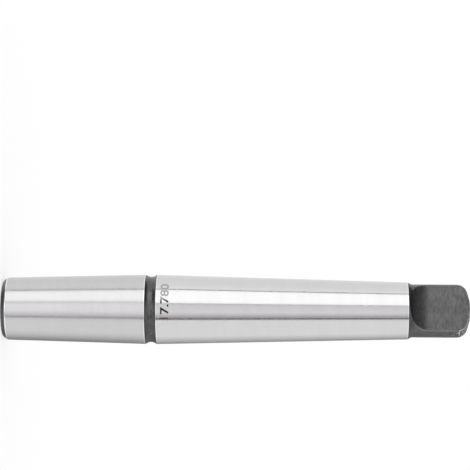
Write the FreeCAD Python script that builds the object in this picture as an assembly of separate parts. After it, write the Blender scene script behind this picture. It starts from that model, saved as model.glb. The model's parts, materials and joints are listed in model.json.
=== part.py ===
"""Drill chuck arbor: a Morse taper 2 shank with a driving tang, a relief neck, and a B18 short taper nose.

The real arbor is one piece of alloy steel. It is turned between centres, its tang is milled, and after
hardening only the two tapers are ground. So the model is one solid: one turned outline, revolved, with
one milled flat cut on each side of the tang.

All sizes are millimetres. The origin is the centre of the nose's end face, and +Z runs along the axis
to the tang, as the arbor stands on its nose. The tang's flats face +Y and -Y.
"""

import math
import os

import FreeCAD
import Part

# Both tapers are cut from the Morse 2 cone, which is 1 in 20.020 on the diameter.
taper_rate = 1 / 20.020
gauge_diameter = 17.780

# Nose: the B18 taper that carries the chuck, with its chamfered end face.
nose_gauge_to_face = 32.0
nose_gauge_to_neck = 5.25
nose_chamfer_length = 1.2
nose_chamfer_depth = 0.9
nose_chamfer_blend = 0.7

# Neck: the relief groove between the tapers, where the grinding wheel runs out. Its root is one round hollow.
neck_width = 2.8
neck_flank_angle = 35.0

# Shank: the Morse 2 taper that seats in the spindle.
shank_gauge_to_neck = 6.2
shank_gauge_to_tang_end = 75.0

# Tang: the turned end behind the shoulder, with two milled flats that key into the spindle's slot.
tang_length = 16.0
tang_diameter = 13.8
tang_thickness = 6.3
tang_flat_length = 10.0
tang_runout_radius = 6.0
shoulder_chamfer_length = 1.0
tang_end_radius = 2.8
tang_end_slope = 17.0
tang_end_face_diameter = 5.8

# The ground edges are broken by a touch of a stone.
ground_edge_break = 0.15

# Centre holes: pilot diameter, mouth diameter and depth of each, with a 60 degree seat and a 118 degree point.
nose_centre_pilot = 3.15
nose_centre_mouth = 6.7
nose_centre_depth = 5.9
tang_centre_pilot = 2.0
tang_centre_mouth = 4.25
tang_centre_depth = 3.7
centre_seat_angle = 60.0
centre_point_angle = 118.0

# Places along the axis, worked out from the sizes above.
face_z = 0.0
nose_gauge_z = face_z + nose_gauge_to_face
neck_start_z = nose_gauge_z + nose_gauge_to_neck
neck_end_z = neck_start_z + neck_width
shank_gauge_z = neck_end_z + shank_gauge_to_neck
tang_end_z = shank_gauge_z + shank_gauge_to_tang_end
shoulder_z = tang_end_z - tang_length
flat_start_z = tang_end_z - tang_flat_length

# How far a cutting tool reaches past the metal that it cuts.
tool_overrun = 2.0


def nose_radius(z):
    """The nose's radius at a height. It grows from the end face to the neck."""
    return gauge_diameter / 2 + (z - nose_gauge_z) * taper_rate / 2


def shank_radius(z):
    """The shank's radius at a height. It shrinks from the neck to the tang."""
    return gauge_diameter / 2 - (z - shank_gauge_z) * taper_rate / 2


def centre_hole(pilot, mouth, depth, end_z, inwards):
    """Outline corners of a centre hole, from its drill point on the axis out to its mouth in the end face.

    inwards is the direction along Z that leads into the metal: +1 at the nose and -1 at the tang.
    """
    half_seat = math.radians(centre_seat_angle / 2)
    half_point = math.radians(centre_point_angle / 2)
    seat_depth = (mouth - pilot) / 2 / math.tan(half_seat)
    point_depth = pilot / 2 / math.tan(half_point)
    return [
        (0.0, end_z + inwards * (depth + point_depth), 0.0),
        (pilot / 2, end_z + inwards * depth, 0.0),
        (pilot / 2, end_z + inwards * seat_depth, 0.0),
        (mouth / 2, end_z, 0.0),
    ]


def nose_outline():
    """Corners of the nose: end face, chamfer, and B18 taper up to the neck."""
    chamfer_z = face_z + nose_chamfer_length
    return [
        (nose_radius(chamfer_z) - nose_chamfer_depth, face_z, nose_chamfer_blend),
        (nose_radius(chamfer_z), chamfer_z, nose_chamfer_blend),
        (nose_radius(neck_start_z), neck_start_z, ground_edge_break),
    ]


def neck_outline():
    """Corner of the neck: a shallow V, with a root as round as its two flanks leave room for."""
    flank_angle = math.radians(neck_flank_angle)
    half_width = neck_width / 2
    edge_radius = (nose_radius(neck_start_z) + shank_radius(neck_end_z)) / 2
    flank_length = half_width / math.cos(flank_angle)
    root_radius = (flank_length - 2 * ground_edge_break) / math.tan(flank_angle)
    return [(edge_radius - half_width * math.tan(flank_angle), neck_start_z + half_width, root_radius)]


def shank_outline():
    """Corners of the Morse taper, from the neck down to the shoulder."""
    return [
        (shank_radius(neck_end_z), neck_end_z, ground_edge_break),
        (shank_radius(shoulder_z), shoulder_z, ground_edge_break),
    ]


def tang_outline():
    """Corners of the tang as it is turned, before milling: shoulder chamfer, round, and domed end."""
    radius = tang_diameter / 2
    face_radius = tang_end_face_diameter / 2
    dome_drop = (radius - face_radius) * math.tan(math.radians(tang_end_slope))
    return [
        (radius, shoulder_z + shoulder_chamfer_length, 0.0),
        (radius, tang_end_z - dome_drop, tang_end_radius),
        (face_radius, tang_end_z, 0.0),
    ]


def rounded_wire(corners):
    """A closed wire in the YZ plane through (radius, z, rounding) corners, with a tangent arc at each rounding."""
    points = [FreeCAD.Vector(0, radius, z) for radius, z, _ in corners]
    edges = []
    ends = []
    for i, corner in enumerate(points):
        rounding = corners[i][2]
        if rounding == 0:
            ends.append((corner, corner))
            continue
        back = (points[i - 1] - corner).normalize()
        onward = (points[(i + 1) % len(points)] - corner).normalize()
        half_angle = back.getAngle(onward) / 2
        tangent_length = rounding / math.tan(half_angle)
        arc_start = corner + back * tangent_length
        arc_end = corner + onward * tangent_length
        bisector = (back + onward).normalize()
        arc_middle = corner + bisector * (rounding / math.sin(half_angle) - rounding)
        edges.append(Part.Arc(arc_start, arc_middle, arc_end).toShape())
        ends.append((arc_start, arc_end))
    for i, (_, leaves) in enumerate(ends):
        arrives = ends[(i + 1) % len(ends)][0]
        edges.append(Part.LineSegment(leaves, arrives).toShape())
    return Part.Wire(Part.__sortEdges__(edges))


def turned_blank():
    """The arbor as it leaves the lathe: the whole outline, centre holes included, revolved about the axis."""
    nose_hole = centre_hole(nose_centre_pilot, nose_centre_mouth, nose_centre_depth, face_z, +1)
    tang_hole = centre_hole(tang_centre_pilot, tang_centre_mouth, tang_centre_depth, tang_end_z, -1)
    corners = nose_hole + nose_outline() + neck_outline() + shank_outline() + tang_outline() + tang_hole[::-1]
    outline = Part.Face(rounded_wire(corners))
    return outline.revolve(FreeCAD.Vector(0, 0, 0), FreeCAD.Vector(0, 0, 1), 360)


def flat_cutter(side):
    """What the mill removes from one side of the tang: a slab, ending in the round of the cutter.

    side is +1 for the flat that faces +Y and -1 for the one that faces -Y.
    """
    flat_y = side * tang_thickness / 2
    cutter_centre_y = flat_y + side * tang_runout_radius
    reach = tang_diameter / 2 + tool_overrun
    outer_y = side * max(reach, abs(cutter_centre_y))
    top_z = tang_end_z + tool_overrun
    quarter = tang_runout_radius * math.sqrt(0.5)
    arc_start = FreeCAD.Vector(-reach, flat_y, flat_start_z)
    arc_middle = FreeCAD.Vector(-reach, cutter_centre_y - side * quarter, flat_start_z - quarter)
    arc_end = FreeCAD.Vector(-reach, cutter_centre_y, flat_start_z - tang_runout_radius)
    corners = [
        arc_end,
        FreeCAD.Vector(-reach, outer_y, flat_start_z - tang_runout_radius),
        FreeCAD.Vector(-reach, outer_y, top_z),
        FreeCAD.Vector(-reach, flat_y, top_z),
        arc_start,
    ]
    edges = [Part.Arc(arc_start, arc_middle, arc_end).toShape()]
    for here, there in zip(corners, corners[1:]):
        if not here.isEqual(there, 1e-7):
            edges.append(Part.LineSegment(here, there).toShape())
    return Part.Face(Part.Wire(edges)).extrude(FreeCAD.Vector(2 * reach, 0, 0))


def arbor():
    """The finished arbor: the turned blank with both flats milled on its tang."""
    body = turned_blank()
    for side in (+1, -1):
        body = body.cut(flat_cutter(side))
    return body.Solids[0]


def main():
    os.makedirs("parts", exist_ok=True)
    shape = arbor()
    shape.exportStep("parts/arbor.step")
    print(f"arbor: {tang_end_z:.2f} mm long, {shape.Volume / 1000:.2f} cm3, valid {shape.isValid()}")


main()
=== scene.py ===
import json
import math

import bpy
from mathutils import Matrix, Vector
from mathutils.geometry import intersect_point_line


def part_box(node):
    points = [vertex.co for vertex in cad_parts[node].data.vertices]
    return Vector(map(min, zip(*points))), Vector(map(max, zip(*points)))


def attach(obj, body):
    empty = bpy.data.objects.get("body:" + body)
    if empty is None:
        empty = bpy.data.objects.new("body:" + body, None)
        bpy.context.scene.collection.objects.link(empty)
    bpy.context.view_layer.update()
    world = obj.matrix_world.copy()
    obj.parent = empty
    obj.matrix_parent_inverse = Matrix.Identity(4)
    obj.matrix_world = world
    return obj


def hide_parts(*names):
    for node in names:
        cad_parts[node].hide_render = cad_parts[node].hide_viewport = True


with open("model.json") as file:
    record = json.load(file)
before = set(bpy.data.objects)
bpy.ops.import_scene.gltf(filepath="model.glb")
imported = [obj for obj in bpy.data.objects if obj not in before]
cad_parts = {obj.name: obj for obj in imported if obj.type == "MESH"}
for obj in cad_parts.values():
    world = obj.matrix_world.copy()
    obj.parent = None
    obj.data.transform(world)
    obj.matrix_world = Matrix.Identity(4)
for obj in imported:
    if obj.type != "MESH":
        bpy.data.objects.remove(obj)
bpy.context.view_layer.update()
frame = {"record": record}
bpy.ops.object.select_all(action="DESELECT")


# The arbor's outline, as the lathe and the grinding machine leave it: nose, neck, shank and tang.
# One bar of alloy steel is turned between its two centre holes. After hardening, only the two tapers
# are ground, so they end at crisp edges that a stone has just touched.
mounts = {mount["name"]: mount for mount in frame["record"]["mounts"]}
gauge_radius = mounts["shank_taper"]["dims"]["r_mm"] / 1000
taper_slope = 1 / 20.020 / 2
nose_gauge_z = mounts["nose_taper"]["pos_m"][2]
nose_length = mounts["nose_taper"]["dims"]["length_mm"] / 1000
shank_gauge_z = mounts["shank_taper"]["pos_m"][2]
shank_length = mounts["shank_taper"]["dims"]["length_mm"] / 1000
tang_end_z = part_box("arbor")[1].z
tang_length = 0.016
shoulder_z = tang_end_z - tang_length
neck_low_z = nose_length
neck_high_z = shoulder_z - shank_length
nose_chamfer_length = 0.0012
nose_chamfer_depth = 0.0009
nose_chamfer_blend = 0.0007
ground_edge_round = 0.00015
shoulder_chamfer_length = 0.0010
tang_radius = 0.0069
tang_end_radius = 0.0028
tang_end_slope = math.radians(17)
tang_end_face_radius = 0.0029
nose_centre = {"pilot_radius": 0.001575, "mouth_radius": 0.00335, "depth": 0.0059}
tang_centre = {"pilot_radius": 0.0010, "mouth_radius": 0.002125, "depth": 0.0037}
centre_seat_half_angle = math.radians(30)
centre_point_half_angle = math.radians(59)
centre_mouth_round = 0.00015
neck_flank_angle = math.radians(35)
neck_edge_length = 0.00014
shank_ground_z = neck_high_z + neck_edge_length


def nose_radius(z):
    """The nose's radius at a height. It grows from the end face to the neck."""
    return gauge_radius + (z - nose_gauge_z) * taper_slope


def shank_radius(z):
    """The shank's radius at a height. It shrinks from the neck to the tang."""
    return gauge_radius - (z - shank_gauge_z) * taper_slope


def centre_hole(pilot_radius, mouth_radius, depth, end_z, inwards):
    """Corners of a centre hole, from its drill point to the mouth of its seat."""
    seat_depth = (mouth_radius - pilot_radius) / math.tan(centre_seat_half_angle)
    point_depth = pilot_radius / math.tan(centre_point_half_angle)
    return [
        (0, end_z + inwards * (depth + point_depth), 0),
        (pilot_radius, end_z + inwards * depth, 0),
        (pilot_radius, end_z + inwards * seat_depth, 0),
        (mouth_radius, end_z, centre_mouth_round),
    ]


def rounded(corners, arc_step=math.radians(9)):
    """The (radius, z) points of an outline whose (radius, z, rounding) corners are rounded by arcs."""
    points = [Vector(corners[0][:2])]
    for before, here, after in zip(corners, corners[1:], corners[2:]):
        corner, rounding = Vector(here[:2]), here[2]
        if rounding == 0:
            points.append(corner)
            continue
        back = (Vector(before[:2]) - corner).normalized()
        onward = (Vector(after[:2]) - corner).normalized()
        half_angle = back.angle(onward) / 2
        centre = corner + (back + onward).normalized() * rounding / math.sin(half_angle)
        start = corner + back * rounding / math.tan(half_angle) - centre
        turn = (math.pi - 2 * half_angle) * math.copysign(1, back.cross(onward))
        steps = max(2, math.ceil(abs(turn) / arc_step))
        for i in range(steps + 1):
            points.append(centre + Matrix.Rotation(-turn * i / steps, 2) @ start)
    points.append(Vector(corners[-1][:2]))
    return points


neck_half_width = (neck_high_z - neck_low_z) / 2
neck_edge_radius = (nose_radius(neck_low_z) + shank_radius(neck_high_z)) / 2
neck_flank = neck_half_width / math.cos(neck_flank_angle)
neck_root_round = (neck_flank - 2 * ground_edge_round) / math.tan(neck_flank_angle)
dome_drop = (tang_radius - tang_end_face_radius) * math.tan(tang_end_slope)
outline = (
    centre_hole(**nose_centre, end_z=0, inwards=1)
    + [
        (nose_radius(nose_chamfer_length) - nose_chamfer_depth, 0, nose_chamfer_blend),
        (nose_radius(nose_chamfer_length), nose_chamfer_length, nose_chamfer_blend),
        (nose_radius(neck_low_z), neck_low_z, ground_edge_round),
        (
            neck_edge_radius - neck_half_width * math.tan(neck_flank_angle),
            neck_low_z + neck_half_width,
            neck_root_round,
        ),
        (shank_radius(neck_high_z), neck_high_z, ground_edge_round),
        (shank_radius(shank_ground_z), shank_ground_z, 0),
        (shank_radius(shoulder_z), shoulder_z, ground_edge_round),
        (tang_radius, shoulder_z + shoulder_chamfer_length, 0),
        (tang_radius, tang_end_z - dome_drop, tang_end_radius),
        (tang_end_face_radius, tang_end_z, 0),
    ]
    + centre_hole(**tang_centre, end_z=tang_end_z, inwards=-1)[::-1]
)
outline_points = rounded(outline)


# The turned blank: a point is drawn along the outline and spun once round the axis, as a lathe would.
# The turn is made in four parts, so that a column of faces ends at each edge of the tang's flats.
tang_half_thickness = abs(mounts["tang_flat_front"]["pos_m"][1])
flat_edge_bearing = math.asin(tang_half_thickness / tang_radius)
narrow_side_steps = 16
wide_side_steps = 36
merge_distance = 1e-6
bpy.ops.mesh.primitive_plane_add(size=0.001)
arbor = bpy.context.object
arbor.name = "drill_chuck_arbor"
arbor.data.name = "drill_chuck_arbor"
bpy.ops.object.mode_set(mode="EDIT")
bpy.ops.mesh.select_mode(type="VERT")
bpy.ops.mesh.select_all(action="SELECT")
bpy.ops.mesh.merge(type="CENTER")
start = outline_points[0]
bpy.ops.transform.translate(value=(start.x, 0, start.y))
for here, there in zip(outline_points, outline_points[1:]):
    step = there - here
    bpy.ops.mesh.extrude_region_move(TRANSFORM_OT_translate={"value": (step.x, 0, step.y)})
bpy.ops.mesh.select_all(action="SELECT")
bpy.ops.transform.rotate(value=-flat_edge_bearing, orient_axis="Z", center_override=(0, 0, 0))
for steps, angle in (
    (narrow_side_steps, 2 * flat_edge_bearing),
    (wide_side_steps, math.pi - 2 * flat_edge_bearing),
) * 2:
    bpy.ops.mesh.spin(steps=steps, angle=angle, center=(0, 0, 0), axis=(0, 0, 1))
bpy.ops.mesh.select_all(action="SELECT")
bpy.ops.mesh.remove_doubles(threshold=merge_distance)
bpy.ops.mesh.normals_make_consistent(inside=False)
bpy.ops.object.mode_set(mode="OBJECT")


# The tang's two flats, which key into the spindle's slot. A side mill cuts each one, and its round
# edge leaves the hollow run-out at the shoulder.
tang_flat_length = 0.010
flat_start_z = tang_end_z - tang_flat_length
mill_radius = 0.006
mill_round_segments = 20
mill_reach = 0.012
turned_steel = bpy.data.materials.new("turned_steel")
milled_steel = bpy.data.materials.new("milled_steel")
arbor.data.materials.append(turned_steel)

for side in (-1, 1):
    bpy.ops.object.select_all(action="DESELECT")
    bpy.ops.mesh.primitive_cube_add(
        size=1,
        location=(
            0,
            side * (tang_half_thickness + mill_reach / 2),
            flat_start_z - mill_radius + mill_reach,
        ),
        scale=(2 * mill_reach, mill_reach, 2 * mill_reach),
    )
    mill = bpy.context.object
    bpy.ops.object.transform_apply(location=True, rotation=True, scale=True)
    mill.data.materials.append(milled_steel)
    for edge in mill.data.edges:
        ends = [mill.data.vertices[i].co for i in edge.vertices]
        inner = all(abs(abs(end.y) - tang_half_thickness) < merge_distance for end in ends)
        lowest = all(end.z < flat_start_z for end in ends)
        edge.select = inner and lowest
    for vertex in mill.data.vertices:
        vertex.select = False
    for face in mill.data.polygons:
        face.select = False
    bpy.ops.object.mode_set(mode="EDIT")
    bpy.ops.mesh.select_mode(type="EDGE")
    bpy.ops.mesh.bevel(offset=mill_radius, segments=mill_round_segments, affect="EDGES")
    bpy.ops.object.mode_set(mode="OBJECT")
    bpy.ops.object.select_all(action="DESELECT")
    bpy.context.view_layer.objects.active = arbor
    arbor.select_set(True)
    bpy.ops.object.modifier_add(type="BOOLEAN")
    cut = arbor.modifiers[-1]
    cut.object = mill
    cut.operation = "DIFFERENCE"
    cut.solver = "EXACT"
    cut.material_mode = "TRANSFER"
    bpy.ops.object.modifier_apply(modifier=cut.name)
    bpy.data.objects.remove(mill)


# The rims of the flats, where the milled faces meet the turned ones. Deburring, and years of drifts and
# drawers, have rounded them and rubbed their black skin thin.
# Their lighter skin is partly rubbed thin and partly a painted highlight along the narrow rounding.
rim_width = 0.00014
rim_segments = 3
rim_start_above_shoulder = 0.0012
rim_low_z = shoulder_z + rim_start_above_shoulder
rim_spacing = 0.00019
rim_clearance = 0.0002
smooth_below = math.radians(32)
rubbed_rim_with_sheen = bpy.data.materials.new("rubbed_rim_with_sheen")
arbor.data.materials.append(rubbed_rim_with_sheen)
finishes = [material.name for material in arbor.data.materials]


def select_rims():
    """Select the edges between a milled face and a turned one, and give them back."""
    milled_sides = {}
    for face in arbor.data.polygons:
        face.select = False
        for key in face.edge_keys:
            milled_sides.setdefault(key, set()).add(finishes[face.material_index] == "milled_steel")
    for vertex in arbor.data.vertices:
        vertex.select = False
    for edge in arbor.data.edges:
        low_end = min(arbor.data.vertices[i].co.z for i in edge.vertices)
        edge.select = len(milled_sides[edge.key]) == 2 and low_end > rim_low_z
    return [edge for edge in arbor.data.edges if edge.select]


def distance_to_rims(point, rims):
    """How far a point lies from the nearest rim."""
    distances = []
    for start, end in rims:
        share = intersect_point_line(point, start, end)[1]
        distances.append((start.lerp(end, min(1, max(0, share))) - point).length)
    return min(distances)


# Corners that lie close together along a rim are merged, and those of the turned faces close beside it
# are dissolved, so that the rounding has room.
select_rims()
bpy.ops.object.mode_set(mode="EDIT")
bpy.ops.mesh.select_mode(type="EDGE")
bpy.ops.mesh.remove_doubles(threshold=rim_spacing)
bpy.ops.object.mode_set(mode="OBJECT")
rim_edges = select_rims()
on_rims = {i for edge in rim_edges for i in edge.vertices}
rims = [[arbor.data.vertices[i].co.copy() for i in edge.vertices] for edge in rim_edges]
for edge in rim_edges:
    edge.select = False
for vertex in arbor.data.vertices:
    beside = vertex.index not in on_rims and vertex.co.z > rim_low_z
    vertex.select = beside and distance_to_rims(vertex.co, rims) < rim_clearance
bpy.ops.object.mode_set(mode="EDIT")
bpy.ops.mesh.select_mode(type="VERT")
bpy.ops.mesh.dissolve_verts()
bpy.ops.mesh.select_mode(type="EDGE")
bpy.ops.object.mode_set(mode="OBJECT")
select_rims()
bpy.ops.object.mode_set(mode="EDIT")
bpy.ops.mesh.bevel(
    offset=rim_width,
    segments=rim_segments,
    affect="EDGES",
    loop_slide=False,
    material=finishes.index("rubbed_rim_with_sheen"),
)
bpy.ops.mesh.select_all(action="SELECT")
bpy.ops.mesh.remove_doubles(threshold=merge_distance)
bpy.ops.object.mode_set(mode="OBJECT")
bpy.ops.object.shade_smooth_by_angle(angle=smooth_below)
bpy.ops.object.modifier_add(type="WEIGHTED_NORMAL")
evened = arbor.modifiers[-1]
evened.keep_sharp = True
evened.weight = 100
bpy.ops.object.modifier_apply(modifier=evened.name)


# Steel finishes. The tapers are ground bright, and keep the wheel's fine lines round the axis. All that
# is only turned or milled keeps the black skin of the oil bath.
def lay(tree, kind, inputs=None, **settings):
    """A new node with its settings. Its inputs take plain values, or the sockets that feed them."""
    node = tree.nodes.new(kind)
    for name, value in settings.items():
        setattr(node, name, value)
    for name, value in (inputs or {}).items():
        if isinstance(value, bpy.types.NodeSocket):
            tree.links.new(value, node.inputs[name])
        else:
            node.inputs[name].default_value = value
    return node


def effect(name, inputs, output):
    """A new node group of one effect, with number inputs at their defaults and one number output."""
    tree = bpy.data.node_groups.new(name, "ShaderNodeTree")
    for label, value in inputs.items():
        socket = tree.interface.new_socket(label, in_out="INPUT", socket_type="NodeSocketFloat")
        socket.default_value = value
    tree.interface.new_socket(output, in_out="OUTPUT", socket_type="NodeSocketFloat")
    return tree, tree.nodes.new("NodeGroupInput"), tree.nodes.new("NodeGroupOutput")


def use(tree, group, **inputs):
    """An effect placed in a material with its own values."""
    node = tree.nodes.new("ShaderNodeGroup")
    node.node_tree = group
    for name, value in inputs.items():
        node.inputs[name].default_value = value
    return node.outputs[0]


# Lines across the axis, as a grinding wheel leaves them round a taper and a milling cutter on a flat.
wheel_lines, given, result = effect("wheel_lines", {"along": 2500.0, "around": 60.0}, "line")
place = lay(wheel_lines, "ShaderNodeTexCoord").outputs["Object"]
stretch = lay(wheel_lines, "ShaderNodeCombineXYZ")
wheel_lines.links.new(given.outputs["around"], stretch.inputs["X"])
wheel_lines.links.new(given.outputs["around"], stretch.inputs["Y"])
wheel_lines.links.new(given.outputs["along"], stretch.inputs["Z"])
drawn = lay(
    wheel_lines, "ShaderNodeVectorMath", {0: place, 1: stretch.outputs["Vector"]}, operation="MULTIPLY"
)
noise = lay(
    wheel_lines, "ShaderNodeTexNoise", {"Vector": drawn.outputs[0], "Scale": 1.0, "Detail": 3.0}
)
wheel_lines.links.new(noise.outputs["Fac"], result.inputs["line"])

# A band along an edge at a given height: a painted highlight at the tapers' edges, and the worn line at
# the tang's end.
edge_highlight_band, given, result = effect("edge_highlight_band", {"height": 0.0, "width": 0.0003}, "land")
place = lay(edge_highlight_band, "ShaderNodeTexCoord").outputs["Object"]
split = lay(edge_highlight_band, "ShaderNodeSeparateXYZ", {"Vector": place})
apart = lay(
    edge_highlight_band,
    "ShaderNodeMath",
    {0: split.outputs["Z"], 1: given.outputs["height"]},
    operation="SUBTRACT",
)
apart = lay(edge_highlight_band, "ShaderNodeMath", {0: apart.outputs[0]}, operation="ABSOLUTE")
fade = lay(
    edge_highlight_band,
    "ShaderNodeMapRange",
    {"Value": apart.outputs[0], "From Max": given.outputs["width"], "To Min": 1.0, "To Max": 0.0},
    interpolation_type="SMOOTHSTEP",
)
edge_highlight_band.links.new(fade.outputs["Result"], result.inputs["land"])

# Cloudy patches of the black skin.
mottle, given, result = effect("mottle", {"patches": 500.0, "detail": 4.0}, "cloud")
place = lay(mottle, "ShaderNodeTexCoord").outputs["Object"]
noise = lay(
    mottle,
    "ShaderNodeTexNoise",
    {"Vector": place, "Scale": given.outputs["patches"], "Detail": given.outputs["detail"]},
)
mottle.links.new(noise.outputs["Fac"], result.inputs["cloud"])

# Bare specks, thick at a point where the steel has been knocked and scarce away from it. The skin is off
# where the noise and the chance of a speck add up to enough.
chance_beyond_reach = -0.1
bare_from = 0.62
all_bare_from = 0.68
bare_specks, given, result = effect(
    "bare_specks",
    {"x": 0.0, "y": 0.0, "z": 0.0, "reach": 0.005, "plenty": 0.14, "patches": 1500.0},
    "bareness",
)
place = lay(bare_specks, "ShaderNodeTexCoord").outputs["Object"]
point = lay(
    bare_specks,
    "ShaderNodeCombineXYZ",
    {"X": given.outputs["x"], "Y": given.outputs["y"], "Z": given.outputs["z"]},
)
away = lay(
    bare_specks, "ShaderNodeVectorMath", {0: place, 1: point.outputs["Vector"]}, operation="DISTANCE"
)
chance = lay(
    bare_specks,
    "ShaderNodeMapRange",
    {
        "Value": away.outputs["Value"],
        "From Max": given.outputs["reach"],
        "To Min": given.outputs["plenty"],
        "To Max": chance_beyond_reach,
    },
)
noise = lay(
    bare_specks,
    "ShaderNodeTexNoise",
    {"Vector": place, "Scale": given.outputs["patches"], "Detail": 3.0},
)
total = lay(
    bare_specks,
    "ShaderNodeMath",
    {0: noise.outputs["Fac"], 1: chance.outputs["Result"]},
    operation="ADD",
)
bare = lay(
    bare_specks,
    "ShaderNodeMapRange",
    {"Value": total.outputs[0], "From Min": bare_from, "From Max": all_bare_from},
)
bare_specks.links.new(bare.outputs["Result"], result.inputs["bareness"])


def spread(tree, value, low, high, centre=0.5, reach=0.2):
    """A noise value, which lies near its centre, spread evenly between a low and a high."""
    ranged = lay(
        tree,
        "ShaderNodeMapRange",
        {
            "Value": value,
            "From Min": centre - reach,
            "From Max": centre + reach,
            "To Min": low,
            "To Max": high,
        },
    )
    return ranged.outputs["Result"]


def blend(tree, factor, first, second):
    """A colour between two colours."""
    mix = lay(tree, "ShaderNodeMix", {0: factor, 6: first, 7: second}, data_type="RGBA")
    return mix.outputs[2]


def shaded(tree, value, colour, low, high):
    """A colour made darker and lighter by a noise value, between two shares of itself."""
    dark = (*[channel * low for channel in colour], 1)
    light = (*[channel * high for channel in colour], 1)
    return blend(tree, spread(tree, value, 0.0, 1.0), dark, light)


painted_edge_highlight = (0.97, 0.97, 0.97, 1)
tone_variation = 0.015
grinding_variation = 0.04
grinding_depth = 0.0000004


def ground_steel(name, colour, roughness, edges):
    """Bright ground steel, with a band of painted highlight at each of its edges."""
    material = bpy.data.materials.new(name)
    material.use_nodes = True
    tree = material.node_tree
    shader = tree.nodes["Principled BSDF"]
    shader.inputs["Metallic"].default_value = 1.0
    fine = use(tree, wheel_lines, along=3200.0, around=50.0)
    broad = use(tree, wheel_lines, along=420.0, around=90.0)
    steel = shaded(tree, broad, colour, 1 - tone_variation, 1 + tone_variation)
    # Each edge's brighter base colour is a painted highlight, not a brighter land of the steel.
    for height in edges:
        steel = blend(tree, use(tree, edge_highlight_band, height=height), steel, painted_edge_highlight)
    tree.links.new(steel, shader.inputs["Base Color"])
    dullness = spread(tree, fine, roughness - grinding_variation, roughness + grinding_variation)
    tree.links.new(dullness, shader.inputs["Roughness"])
    bump = lay(tree, "ShaderNodeBump", {"Height": fine, "Strength": 1.0, "Distance": grinding_depth})
    tree.links.new(bump.outputs["Normal"], shader.inputs["Normal"])
    return material


skin_variation = 0.05
skin_grain_depth = 0.000006


def blackened_steel(material, colour, roughness, grain, clouding=0.2, marking=0.0):
    """Steel under the black skin of the oil bath: a dull dark metal, cloudy and finely grained.

    Where it is milled, the marks of the cutter show through the skin.
    """
    material.use_nodes = True
    tree = material.node_tree
    shader = tree.nodes["Principled BSDF"]
    shader.inputs["Metallic"].default_value = 1.0
    cloud = use(tree, mottle, patches=450.0, detail=5.0)
    fine = use(tree, mottle, patches=grain, detail=2.0)
    skin = shaded(tree, cloud, colour, 1 - clouding, 1 + clouding)
    if marking > 0:
        lines = use(tree, wheel_lines, along=2200.0, around=700.0)
        marks = spread(tree, lines, 1 - marking, 1 + marking)
        marked = lay(
            tree, "ShaderNodeMix", {0: 1.0, 6: skin, 7: marks}, data_type="RGBA", blend_type="MULTIPLY"
        )
        skin = marked.outputs[2]
    tree.links.new(skin, shader.inputs["Base Color"])
    dullness = spread(tree, cloud, roughness + skin_variation, roughness - skin_variation)
    tree.links.new(dullness, shader.inputs["Roughness"])
    bump = lay(tree, "ShaderNodeBump", {"Height": fine, "Strength": 1.0, "Distance": skin_grain_depth})
    tree.links.new(bump.outputs["Normal"], shader.inputs["Normal"])
    return shader, tree


turned_skin = (0.11, 0.11, 0.112)
milled_skin = (0.122, 0.122, 0.124)
# The rims' colour, lighter than the skin: partly rubbed thin, partly a painted highlight.
rubbed_skin_and_sheen = (0.2, 0.2, 0.2)
bare_metal = (0.60, 0.60, 0.59, 1)
knocked_corner = {"x": 0.0055, "y": -tang_half_thickness, "z": tang_end_z - 0.001}
# The line where the tang's end round starts: partly bare wear, partly a painted highlight of that edge.
edge_wear_highlight_z = tang_end_z - 0.0028
edge_wear_highlight_width = 0.00033
edge_wear_highlight_reach = 0.005
edge_wear_highlight_plenty = 0.5


def knocked(shader, tree, reach, plenty):
    """A blackened steel with bare specks about the tang's knocked corner.

    Beside the corner, the line where the round of the tang's end starts is worn bare, and that bare line
    is also a painted highlight of an edge that the smooth mesh lacks.
    """
    skin = shader.inputs["Base Color"].links[0].from_socket
    specks = use(tree, bare_specks, reach=reach, plenty=plenty, **knocked_corner)
    beside = use(tree, bare_specks, reach=edge_wear_highlight_reach, plenty=edge_wear_highlight_plenty, **knocked_corner)
    # This worn line is partly bare metal and partly a painted highlight.
    edge = use(tree, edge_highlight_band, height=edge_wear_highlight_z, width=edge_wear_highlight_width)
    edge_wear_highlight = lay(tree, "ShaderNodeMath", {0: beside, 1: edge}, operation="MULTIPLY")
    bare = lay(tree, "ShaderNodeMath", {0: specks, 1: edge_wear_highlight.outputs[0]}, operation="MAXIMUM")
    tree.links.new(blend(tree, bare.outputs[0], skin, bare_metal), shader.inputs["Base Color"])


shader, tree = blackened_steel(turned_steel, turned_skin, 0.27, 5000.0)
knocked(shader, tree, reach=0.005, plenty=0.14)
blackened_steel(milled_steel, milled_skin, 0.40, 4000.0, clouding=0.08, marking=0.22)
shader, tree = blackened_steel(rubbed_rim_with_sheen, rubbed_skin_and_sheen, 0.38, 4000.0)
knocked(shader, tree, reach=0.009, plenty=0.25)

ground_shank = ground_steel("ground_shank", (0.65, 0.65, 0.65), 0.15, (shank_ground_z, shoulder_z))
ground_nose = ground_steel("ground_nose", (0.59, 0.59, 0.592), 0.21, (nose_chamfer_length, neck_low_z))
arbor.data.materials.append(ground_shank)
arbor.data.materials.append(ground_nose)
shank_finish = len(arbor.data.materials) - 2
nose_finish = len(arbor.data.materials) - 1
tapers_outside_radius = tang_radius + 0.0005
nose_ground_z = nose_chamfer_length - 0.0001
ground_end_margin = 0.00001
for face in arbor.data.polygons:
    z = face.center.z
    outside = face.center.xy.length > tapers_outside_radius
    if outside and shank_ground_z < z < shoulder_z - ground_end_margin:
        face.material_index = shank_finish
    elif outside and nose_ground_z < z < neck_low_z - ground_end_margin:
        face.material_index = nose_finish
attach(arbor, "root")
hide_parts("arbor")
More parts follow.
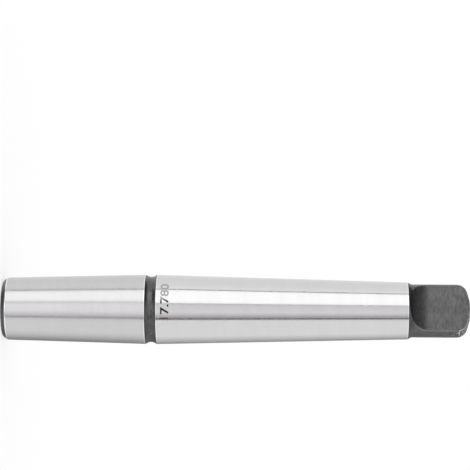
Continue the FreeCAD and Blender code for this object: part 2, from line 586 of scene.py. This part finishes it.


# The size mark, etched round the shank beside the neck. It is the gauge diameter in plain figures. The
# etch is brown where it starts, then dark, and its light grey end is a painted reflection of the
# softbox.
mark_height = 0.0022
mark_baseline_z = 0.04358
mark_start_bearing = math.radians(31.6)
mark_end_bearing = math.radians(-31.8)
mark_step = 0.00025
mark_rise = 0.000012
stroke_depth = 0.01
stroke_thickening = 0.02
stroke_curve_steps = 6
bpy.ops.object.select_all(action="DESELECT")
bpy.ops.object.text_add()
mark = bpy.context.object
mark.name = "size_mark"
mark.data.body = "17.780"
mark.data.extrude = stroke_depth
mark.data.offset = stroke_thickening
mark.data.resolution_u = stroke_curve_steps
bpy.ops.object.convert(target="MESH")
mark = bpy.context.object
mark.data.name = "size_mark"
lows = Vector([min(vertex.co[i] for vertex in mark.data.vertices) for i in range(3)])
highs = Vector([max(vertex.co[i] for vertex in mark.data.vertices) for i in range(3)])
mark_radius = shank_radius(mark_baseline_z)
mark_length = mark_radius * (mark_start_bearing - mark_end_bearing)
growth = (mark_length / (highs.x - lows.x), mark_height / (highs.y - lows.y), mark_rise / highs.z)
bpy.ops.object.mode_set(mode="EDIT")
bpy.ops.mesh.select_all(action="SELECT")
bpy.ops.transform.translate(value=(-lows.x, -lows.y, 0))
bpy.ops.transform.resize(value=growth, center_override=(0, 0, 0))
bpy.ops.mesh.remove_doubles(threshold=merge_distance)
cuts = int(mark_length / mark_step)
for i in range(1, cuts):
    bpy.ops.mesh.select_all(action="SELECT")
    bpy.ops.mesh.bisect(plane_co=(mark_length * i / cuts, 0, 0), plane_no=(1, 0, 0))
bpy.ops.mesh.select_all(action="SELECT")
bpy.ops.mesh.remove_doubles(threshold=merge_distance)
bpy.ops.object.mode_set(mode="OBJECT")
for vertex in mark.data.vertices:
    run, rise, lift = vertex.co
    z = mark_baseline_z - rise
    bearing = mark_start_bearing - run / mark_radius
    radius = shank_radius(z) + lift
    vertex.co = (radius * math.sin(bearing), -radius * math.cos(bearing), z)
etched = bpy.data.materials.new("etched_steel")
etched.use_nodes = True
tree = etched.node_tree
shader = tree.nodes["Principled BSDF"]
shader.inputs["Metallic"].default_value = 0.9
shader.inputs["Roughness"].default_value = 0.45
place = lay(tree, "ShaderNodeTexCoord").outputs["Object"]
split = lay(tree, "ShaderNodeSeparateXYZ", {"Vector": place})
brown_from_x = 0.0040
dark_from_x = 0.0028
painted_reflection_from_x = 0.0003
painted_reflection_full_x = -0.0006
starting = lay(
    tree,
    "ShaderNodeMapRange",
    {"Value": split.outputs["X"], "From Min": dark_from_x, "From Max": brown_from_x},
)
# Towards the mark's end, its light grey colour is a painted reflection of the softbox's white band.
painted_reflection_share = lay(
    tree,
    "ShaderNodeMapRange",
    {"Value": split.outputs["X"], "From Min": painted_reflection_from_x, "From Max": painted_reflection_full_x},
)
dark_etch = (0.03, 0.022, 0.019, 1)
brown_etch = (0.17, 0.125, 0.115, 1)
etch_painted_reflection = (0.40, 0.40, 0.39, 1)
etch = blend(tree, starting.outputs["Result"], dark_etch, brown_etch)
etch = blend(tree, painted_reflection_share.outputs["Result"], etch, etch_painted_reflection)
tree.links.new(etch, shader.inputs["Base Color"])
mark.data.materials.append(etched)
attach(mark, "root")


# The floor that the arbor stands on, a wide sheet of matt paper. It is white to the camera and keeps the
# arbor's soft shadow, and the steel doesn't mirror it.
floor_size = 8
floor_colour = 0.35
floor_gap = 0.00005
bpy.ops.object.select_all(action="DESELECT")
bpy.ops.mesh.primitive_plane_add(size=floor_size, location=(0, 0, -floor_gap))
floor = bpy.context.object
floor.name = "floor"
floor.visible_glossy = False
floor_white = bpy.data.materials.new("floor_white")
floor_white.use_nodes = True
tree = floor_white.node_tree
shader = tree.nodes["Principled BSDF"]
shader.inputs["Base Color"].default_value = (floor_colour, floor_colour, floor_colour, 1)
shader.inputs["Roughness"].default_value = 1.0
shader.inputs["Specular IOR Level"].default_value = 0.0
shader.inputs["Emission Color"].default_value = (1, 1, 1, 1)
path = lay(tree, "ShaderNodeLightPath")
seen = path.outputs["Is Camera Ray"]
for ray in ("Is Glossy Ray", "Is Transmission Ray"):
    seen = lay(tree, "ShaderNodeMath", {0: seen, 1: path.outputs[ray]}, operation="MAXIMUM").outputs[0]
glow = lay(tree, "ShaderNodeMath", {0: seen, 1: 1 - floor_colour}, operation="MULTIPLY")
tree.links.new(glow.outputs[0], shader.inputs["Emission Strength"])
floor.data.materials.append(floor_white)


# The room, a tent of white cloth round the arbor. It lights the arbor evenly from every side, and is
# white behind it.
room = bpy.data.worlds.new("white_tent")
bpy.context.scene.world = room
room.use_nodes = True
room.node_tree.nodes["Background"].inputs["Color"].default_value = (1, 1, 1, 1)
room.node_tree.nodes["Background"].inputs["Strength"].default_value = 1.0


# The softbox and the boards that the steel mirrors. Each stands upright round the arbor, from one
# bearing to another as seen from it. A bearing of 0 points at the camera, and it grows down the picture.
camera_bearing = math.radians(14.8)
board_distance = 0.6
stand_distance = 0.59
board_foot = -0.8
board_top = 0.3


def glowing_board(name, corners, shine_from, shine_to, colour=(1, 1, 1)):
    """A board that shines evenly, or from one strength to another across its width."""
    bpy.ops.mesh.primitive_plane_add(size=1)
    board = bpy.context.object
    board.name = name
    for vertex, corner in zip(board.data.vertices, corners):
        vertex.co = corner
    board.visible_camera = False
    board.visible_diffuse = False
    board.visible_shadow = False
    material = bpy.data.materials.new(name)
    material.use_nodes = True
    material.cycles.emission_sampling = "NONE"
    tree = material.node_tree
    shader = tree.nodes["Principled BSDF"]
    shader.inputs["Base Color"].default_value = (0, 0, 0, 1)
    shader.inputs["Specular IOR Level"].default_value = 0.0
    shader.inputs["Emission Color"].default_value = (*colour, 1)
    across = lay(tree, "ShaderNodeTexCoord").outputs["UV"]
    split = lay(tree, "ShaderNodeSeparateXYZ", {"Vector": across})
    shine = lay(
        tree,
        "ShaderNodeMapRange",
        {"Value": split.outputs["X"], "To Min": shine_from, "To Max": shine_to},
    )
    tree.links.new(shine.outputs["Result"], shader.inputs["Emission Strength"])
    board.data.materials.append(material)


def standing_board(name, bearings, shines, heights, colour=(1, 1, 1), distance=board_distance):
    """A glowing board from one bearing in degrees to another, and from one height to another."""
    feet = []
    for bearing in bearings:
        around = camera_bearing + math.radians(bearing)
        feet.append(Vector((math.sin(around), -math.cos(around), 0)) * distance)
    corners = [foot + Vector((0, 0, height)) for height in heights for foot in feet]
    glowing_board(name, corners, *shines, colour)


def upright_board(name, lower, upper, colour=(1, 1, 1)):
    """A board of two halves, which the nose and the shank mirror.

    Each half has its own two bearings, and the strengths that it shines at there.
    """
    standing_board(name + "_lower", lower[:2], lower[2:], (board_foot, 0.0), colour)
    standing_board(name + "_upper", upper[:2], upper[2:], (0.0, board_top), colour)


upright_board("back_reflector", (-180, -100, 0.88, 0.97), (-180, -100, 0.92, 0.98))
upright_board("softbox_flare", (-88, -72, 0.98, 1.02), (-88, -72, 1.02, 1.15))
upright_board("softbox_far_frame", (-72, -68, 0.0, 0.0), (-72, -69, 0.0, 0.0))
upright_board("softbox", (-68, -27, 1.5, 1.5), (-69, -20.9, 1.5, 1.5))
upright_board("softbox_near_frame", (-27, -20.5, 0.8, 0.8), (-20.9, -18.4, 0.35, 0.35))
upright_board("reflector", (-20.5, 10, 1.23, 1.23), (-18.4, 11, 0.86, 0.97), (1, 0.99, 1.01))
upright_board("reflector_shade", (10, 27.7, 1.18, 0.76), (11, 30, 0.95, 0.42), (1, 0.96, 1))
upright_board("reflector_frame", (27.7, 31.3, 0.0, 0.0), (30, 34.4, 0.0, 0.0))
upright_board("back_flag", (89, 108, 0.98, 0.8), (104, 127, 0.97, 0.69))
upright_board("back_flag_middle", (108, 142, 0.8, 0.34), (127, 150, 0.69, 0.4))
upright_board("back_flag_edge", (142, 180, 0.36, 0.28), (150, 180, 0.4, 0.28))
standing_board("softbox_stand", (-92, -30), (0.05, 0.05), (-0.75, -0.34), distance=stand_distance)
standing_board("camera_stand", (-4, 26), (0.05, 0.05), (-0.34, -0.2), distance=stand_distance)

# Cards overhead and under the floor, which keep the arbor's ends and its neck dark. A bearing and a
# distance from the axis place each corner.
for name, height, places, shine in (
    ("overhead_card", 0.6, ((-20, 0.8), (160, 1.2), (-76.3, 1.44), (205, 1.7)), 0.22),
    ("overhead_card_beside", 0.6, ((-20, 1.2), (160, 1.2), (25, 1.7), (115, 1.7)), 0.7),
    ("underfloor_card", -0.6, ((-20, 0.45), (160, 0.45), (-65, 0.64), (205, 0.64)), 0.45),
    ("underfloor_card_beside", -0.6, ((-20, 0.45), (160, 0.45), (25, 0.64), (115, 0.64)), 0.8),
):
    corners = []
    for bearing, distance in places:
        around = camera_bearing + math.radians(bearing)
        corners.append(Vector((math.sin(around) * distance, -math.cos(around) * distance, height)))
    glowing_board(name, corners, shine, shine)


# The camera looks at the arbor from the side, rolled so that the axis lies level in the picture with
# the tang at the right, as in the photograph.
picture_width_px = 470
focal_length_px = 2058
camera_distance = 0.536
camera_azimuth = math.radians(16.85)
camera_height = 0.07305
camera_pitch = math.radians(1.36)
camera_roll = math.radians(0.29)
axis_below_centre = 0.0195
towards_camera = Vector((math.sin(camera_azimuth), -math.cos(camera_azimuth), 0))
picture_up = Vector((-math.cos(camera_azimuth), -math.sin(camera_azimuth), 0))
camera_data = bpy.data.cameras.new("camera")
camera = bpy.data.objects.new("camera", camera_data)
bpy.context.scene.collection.objects.link(camera)
camera_data.sensor_width = 36
camera_data.lens = camera_data.sensor_width * focal_length_px / picture_width_px
camera_data.clip_start = 0.01
camera_data.clip_end = 20
level = Matrix((Vector((0, 0, 1)), picture_up, towards_camera)).transposed()
pitched = Matrix.Rotation(camera_pitch, 3, picture_up) @ level
rolled = Matrix.Rotation(camera_roll, 3, pitched.col[2]) @ pitched
place = towards_camera * camera_distance + picture_up * axis_below_centre + Vector((0, 0, camera_height))
camera.matrix_world = Matrix.Translation(place) @ rolled.to_4x4()
bpy.context.scene.camera = camera
bpy.context.scene.view_settings.view_transform = "Standard"
